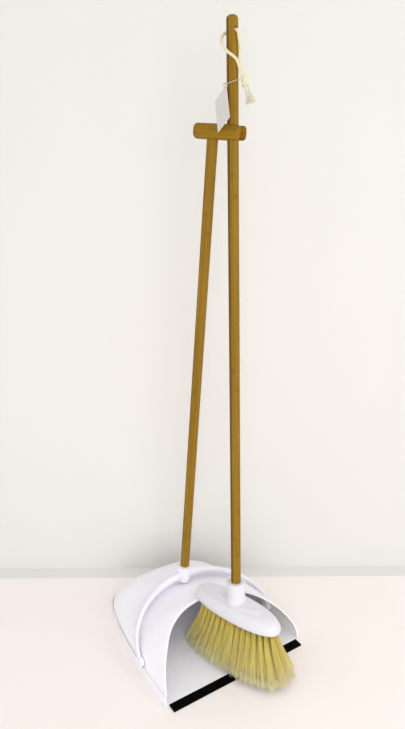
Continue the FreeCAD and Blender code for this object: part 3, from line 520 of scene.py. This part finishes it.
# %% Tufts of bristles
FIBRES, FIBRE_THICK, FLAG_THICK = 140, 0.00028, 0.00015
FLAG_START, TIP_SCATTER, FLAG_SCATTER, BOW_SHARE = 0.84, 0.0016, 0.0013, 0.13
for label, spots in TUFT_SETS.items():
    spots = spots[from_head(with_height(spots, 0.0))[:, 1] < LAST_TUFT]
    tufts = len(spots)
    roots, tips = with_height(spots, 0.001), with_height(spots * FLARE, -TIP_DOWN)
    spot = disc(tufts * FIBRES, 1.0)
    starts = np.repeat(roots, FIBRES, axis=0) + spot * HOLE_RADIUS
    ends = np.repeat(tips, FIBRES, axis=0) + spot * TUFT_END_RADIUS + rng.normal(0, TIP_SCATTER, starts.shape)
    ends[:, 2] = -TIP_DOWN + np.abs(rng.normal(0, 0.0011, len(ends)))
    bow = (starts - ends) * (BOW_SHARE, BOW_SHARE, 0.0) + rng.normal(0, 0.0005, starts.shape) * (1, 1, 0)
    starts, ends, bow = from_head(starts), from_head(ends), bow @ HEAD_AXES
    tuft_tone = np.repeat(rng.uniform(0, 0.5, tufts), FIBRES)
    tones = np.clip(tuft_tone + rng.uniform(0, 0.5, len(starts)), 0, 1)
    stems = (*fibre_points(starts, ends, bow, FIBRE_THICK, 6, 0.35), tones)
    forks = starts + FLAG_START * (ends - starts)
    flag_ends = ends + rng.normal(0, FLAG_SCATTER, ends.shape) * (1, 1, 0.35)
    flag_ends[:, 2] = np.maximum(flag_ends[:, 2], ends[:, 2].min())
    places, share = fibre_points(forks, flag_ends, bow * 0.05, FLAG_THICK, 3, 0.5)
    flags = (places, FLAG_START + (1 - FLAG_START) * share, tones * 0.5)
    piece = fibre_piece(f"fibres_{label}", [stems, flags], bristle)
    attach(piece, "broom")
    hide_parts(f"bristles_{label}")
    print(label, "has", tufts, "tufts")

# %% [markdown]
# ## Hanging cord
# A short cotton cord hangs the broom on a hook. It goes through the pole's top hole: one leg
# comes out in front, the other behind, and both end in one tight knot with a frayed tail. Its
# route is a NURBS spline through a few control points, which is how a limp cord bends, and
# three strands are wound round that line, because twisted cotton shows its lay even from far.

# %% Cord route
FRONT_LEG = [
    (13.5, 51.1, 968.4), (13.5, 39.2, 968.4), (16.7, 40.2, 956.9), (19.6, 41.3, 948.0),
    (19.1, 41.2, 938.3), (17.1, 40.0, 928.1), (19.4, 37.4, 919.4), (22.2, 35.8, 910.9),
]
REAR_LEG = [
    (13.5, 51.1, 968.4), (13.5, 63.0, 968.4), (4.7, 62.3, 963.5), (-0.9, 56.9, 952.4),
    (0.6, 45.7, 940.3), (7.2, 40.1, 934.7), (12.3, 37.0, 929.3), (14.6, 35.4, 919.6),
    (18.5, 34.1, 910.2),
]
CORD_RADIUS = 2.1 * MM


def spline_line(name, points):
    """The points that Blender finds along a NURBS spline of order 3 with those control points."""
    curve = bpy.data.curves.new(name, "CURVE")
    curve.dimensions, curve.resolution_u = "3D", 24
    spline = curve.splines.new("NURBS")
    spline.points.add(len(points) - 1)
    spline.points.foreach_set("co", [c for p in points for c in (*(MM * x for x in p), 1.0)])
    spline.order_u, spline.use_endpoint_u = 3, True
    holder = bpy.data.objects.new(name, curve)
    mesh = bpy.data.meshes.new_from_object(holder)
    line = np.zeros(len(mesh.vertices) * 3)
    mesh.vertices.foreach_get("co", line)
    bpy.data.objects.remove(holder)
    bpy.data.meshes.remove(mesh)
    bpy.data.curves.remove(curve)
    return line.reshape(-1, 3)


def evenly(line, step):
    """The line again, with its points one step apart: each coordinate over the length so far."""
    run = np.concatenate([[0], np.cumsum(np.linalg.norm(np.diff(line, axis=0), axis=1))])
    at = np.linspace(0, run[-1], int(run[-1] / step) + 2)
    return np.stack([np.interp(at, run, line[:, k]) for k in range(3)], axis=1), at


# %% [markdown]
# A tube needs two directions across its line at each point. The first is the line's heading
# crossed with one fixed direction that the line never follows; the second is square to both.
# A strand is a helix about the line: its own centre is offset along a direction that turns
# once in every 10 mm, and its tube is swept round that.


# %% Twisted cord builder
def across_line(line, fixed):
    """Two unit directions square to the line at each of its points."""
    heading = unit(np.gradient(line, axis=0))
    side = unit(np.cross(heading, fixed))
    return side, np.cross(heading, side)


def swept(line, radius, sides, fixed):
    """A tube's points [ring, side, xyz]: line + radius (cos a side + sin a third)."""
    side, third = across_line(line, fixed)
    angle = np.arange(sides) * 2 * math.pi / sides
    around = np.cos(angle)[None, :, None] * side[:, None] + np.sin(angle)[None, :, None] * third[:, None]
    return line[:, None] + radius * around


STRANDS, LAY, STRAND_SIDES = 3, 10 * MM, 8


def twisted(name, line, run, radius, fixed, material):
    """A three-strand cord: each strand's line is line + offset (cos w side + sin w third),
    with w turning once in each LAY of length."""
    side, third = across_line(line, fixed)
    strand_radius = 0.52 * radius
    tubes = []
    for strand in range(STRANDS):
        wind = 2 * math.pi * (run / LAY + strand / STRANDS)
        centre = line + (radius - strand_radius) * (
            np.cos(wind)[:, None] * side + np.sin(wind)[:, None] * third
        )
        tubes.append(swept(centre, strand_radius, STRAND_SIDES, fixed))
    points = np.stack(tubes)
    along = np.broadcast_to(run[None, :, None] / LAY, points.shape[:3])
    turn_share = np.broadcast_to(np.arange(STRAND_SIDES) / STRAND_SIDES, points.shape[:3])
    faces = tube_grid(STRANDS, len(line), STRAND_SIDES)
    return make_piece(name, points, faces, material, along=along, around=turn_share)


# %% Cotton material
def cotton_yarn(name, low, high):
    """Matt cotton between two shades; the yarns run round the cord with its along attribute."""
    material, tree, shader = new_material(name, Roughness=0.9, Sheen_Weight=0.25, Sheen_Roughness=0.5)
    fuzz = on_object(tree, grain, Across=1500.0, Along=900.0)
    along = add(tree, "ShaderNodeAttribute", attribute_name="along").outputs["Fac"]
    yarn = add(tree, "ShaderNodeMath", operation="MULTIPLY", values={1: 40.0})
    join(tree, along, yarn.inputs[0])
    yarn_wave = add(tree, "ShaderNodeMath", operation="SINE")
    join(tree, yarn.outputs[0], yarn_wave.inputs[0])
    yarn_height = add(tree, "ShaderNodeMath", operation="MULTIPLY_ADD", values={1: 0.25})
    join(tree, yarn_wave.outputs[0], yarn_height.inputs[0])
    join(tree, fuzz.outputs["Streak"], yarn_height.inputs[2])
    coloured(tree, shader, fuzz.outputs["Streak"], low, high, 0.3, 0.65)
    bumped(tree, shader, yarn_height.outputs[0], 0.00025, 0.7)
    return material


cotton = cotton_yarn("cord_cotton", (216, 206, 170), (236, 228, 198))
# The tassel gets a lighter copy of the same cotton: painted light, which keeps its threads bright where they
# shade one another.
tassel_lit_cotton = cotton_yarn("tassel_cotton_painted_light", (244, 238, 208), (254, 251, 232))

# %% Cord legs
for name, points in (("cord_front", FRONT_LEG), ("cord_rear", REAR_LEG)):
    line, run = evenly(spline_line(name + "_route", points), 0.5 * MM)
    leg = twisted(name, line, run, CORD_RADIUS, (1.0, 0.0, 0.0), cotton)
    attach(leg, "broom")
    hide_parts(name.replace("cord_", "cord_leg_"))
    print(name, "is", round(run[-1] / MM, 1), "mm long")

# %% [markdown]
# The knot is the same cord wound tightly round itself. Seen from outside that is a few turns
# that climb steeply on one side and cross over on the other, so its line is a helix whose
# height also rocks once each turn, round a core that shows in its gaps. Below it the ends
# fray into a tassel: a fan of fine wavy threads.

# %% Knot
KNOT_CENTRE, KNOT_TILT = np.array((22.7, 33.6, 904.5)) * MM, math.radians(-12)
knot_axes = np.array(Euler((0, KNOT_TILT, 0)).to_matrix().transposed())
KNOT_TURNS, TURN_RADIUS, TURN_RISE, TURN_ROCK = 2.6, 3.35 * MM, 5.6 * MM, 1.2 * MM
share = np.linspace(0, 1, 150)
spin = 2 * math.pi * KNOT_TURNS * share
waist = TURN_RADIUS * (1 - 0.35 * (2 * share - 1) ** 4)
knot_line = np.stack([
    waist * np.cos(spin), waist * np.sin(spin),
    TURN_RISE * np.cos(math.pi * share) + TURN_ROCK * np.sin(spin + 0.8),
], axis=1)
knot_line = KNOT_CENTRE + knot_line @ knot_axes
knot_line, run = evenly(knot_line, 0.5 * MM)
knot = twisted("cord_knot_turns", knot_line, run, CORD_RADIUS, (0.2, 0.0, 0.98), cotton)

# %% Knot core
CORE_HALF, CORE_RADIUS, CORE_RINGS, CORE_SIDES = 8.6 * MM, 4.3 * MM, 25, 16
share = np.linspace(-1, 1, CORE_RINGS)
core_line = KNOT_CENTRE + share[:, None] * CORE_HALF * knot_axes[2]
core_radius = CORE_RADIUS * (1 - 0.9 * share**4)[:, None, None]
core_points = swept(core_line, core_radius, CORE_SIDES, (1.0, 0.0, 0.0))
core_along = np.broadcast_to(share[:, None], core_points.shape[:2])
core_faces = tube_grid(1, CORE_RINGS, CORE_SIDES)
core = make_piece("cord_knot_core", core_points, core_faces, cotton, along=core_along)
for piece in (knot, core):
    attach(piece, "broom")
    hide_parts("cord_knot")

# %% Tassel
TASSEL_TOP, TASSEL_LONG = np.array((24.6, 32.6, 898.1)) * MM, 22.3 * MM
down = unit(np.array((0.29, -0.17, -0.94)))
tassel_side = unit(np.cross(down, (0.0, 1.0, 0.0)))
tassel_axes = np.array([tassel_side, np.cross(down, tassel_side), down])
THREADS, THREAD_RADIUS, NECK_RADIUS, FRAY_RADIUS = 260, 0.33 * MM, 2.6 * MM, 7.4 * MM
spot = disc(THREADS, 1.0)
starts = TASSEL_TOP + (spot * NECK_RADIUS) @ tassel_axes
reach = TASSEL_LONG * (1 - np.abs(rng.normal(0, 0.05, THREADS)))
flared = spot * FRAY_RADIUS + rng.normal(0, 0.5 * MM, (THREADS, 3))
flared[:, 2] = reach
ends = TASSEL_TOP + flared @ tassel_axes
bow = (-spot * 1.6 * MM + rng.normal(0, 0.7 * MM, (THREADS, 3)) * (1, 1, 0)) @ tassel_axes
group = (*fibre_points(starts, ends, bow, THREAD_RADIUS, 9, 0.3), rng.uniform(0, 1, THREADS))
tassel = fibre_piece("cord_tassel_threads", [group], tassel_lit_cotton)
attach(tassel, "broom")
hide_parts("cord_tassel")

# %% [markdown]
# ## Room and light
# The set stands on a pale floor close to a pale wall. Both are plain sheets, because they
# aren't part of the object. The wall is only seen from its front: its back is transparent, so a
# camera behind it still sees the object. The light is soft: an even white world, a lamp up on
# the right that draws the shadow to the left, and a very large one in front that reaches into
# the pan.


# %% Floor and wall
def sheet_of(name, corners, shade, one_sided):
    """A flat sheet with those four corners, in one pale matt colour with a faint mottle."""
    material, tree, shader = new_material(name + "_paint", Roughness=0.9, Specular_IOR_Level=0.1)
    touch = on_object(tree, handling, Scale=1.5)
    coloured(tree, shader, touch.outputs["Cloud"], [c - 2 for c in shade], shade, 0.3, 0.7)
    if one_sided:
        clear = tree.nodes.new("ShaderNodeBsdfTransparent")
        choose = tree.nodes.new("ShaderNodeMixShader")
        join(tree, add(tree, "ShaderNodeNewGeometry").outputs["Backfacing"], choose.inputs["Fac"])
        join(tree, shader.outputs["BSDF"], choose.inputs[1])
        join(tree, clear.outputs["BSDF"], choose.inputs[2])
        join(tree, choose.outputs["Shader"], tree.nodes["Material Output"].inputs["Surface"])
    piece = make_piece(name, corners, [[0, 1, 2, 3]], material)
    return piece


WALL_HEADING, WALL_BEHIND, SKIRT_BEHIND = 32.6, 0.292, 0.257
towards = np.array((math.sin(math.radians(WALL_HEADING)), math.cos(math.radians(WALL_HEADING)), 0))
wall_right = np.array((towards[1], -towards[0], 0))
lift = np.array((0, 0, 1.0))
WIDE, TALL = 4.0, 3.5
wall_foot = towards * WALL_BEHIND
sheet_of("wall", [
    wall_foot - WIDE * wall_right, wall_foot + WIDE * wall_right,
    wall_foot + WIDE * wall_right + TALL * lift, wall_foot - WIDE * wall_right + TALL * lift,
], (229, 228, 223), True)
skirt = towards * SKIRT_BEHIND
sheet_of("floor_edge", [
    skirt - WIDE * wall_right, skirt + WIDE * wall_right,
    wall_foot + WIDE * wall_right, wall_foot - WIDE * wall_right,
], (231, 230, 225), False)
sheet_of("floor", [
    skirt - 5 * towards - WIDE * wall_right, skirt - 5 * towards + WIDE * wall_right,
    skirt + WIDE * wall_right, skirt - WIDE * wall_right,
], (252, 244, 240), False)


# %% Lights
def area_light(name, place, aim, size, watts, tint=(1.0, 1.0, 1.0)):
    """A square soft lamp that faces its aim."""
    data = bpy.data.lights.new(name, "AREA")
    data.shape, data.size, data.energy, data.color = "SQUARE", size, watts, tint
    lamp = bpy.data.objects.new(name, data)
    lamp.location = place
    lamp.rotation_euler = (Vector(aim) - Vector(place)).to_track_quat("-Z", "Y").to_euler()
    bpy.context.scene.collection.objects.link(lamp)


area_light("key_lamp", (1.3, -1.5, 2.1), (0.0, 0.05, 0.2), 0.7, 7.5, (1.0, 0.985, 0.95))
area_light("front_lamp", (-0.75, -1.5, 0.5), (0.0, 0.0, 0.05), 1.0, 11.5, (1.0, 0.99, 0.97))

world = bpy.data.worlds.new("even_light")
bpy.context.scene.world = world
world.use_nodes = True
world.node_tree.nodes["Background"].inputs["Color"].default_value = (0.97, 0.98, 1.0, 1.0)
world.node_tree.nodes["Background"].inputs["Strength"].default_value = 0.88
bpy.context.scene.view_settings.view_transform = "Standard"
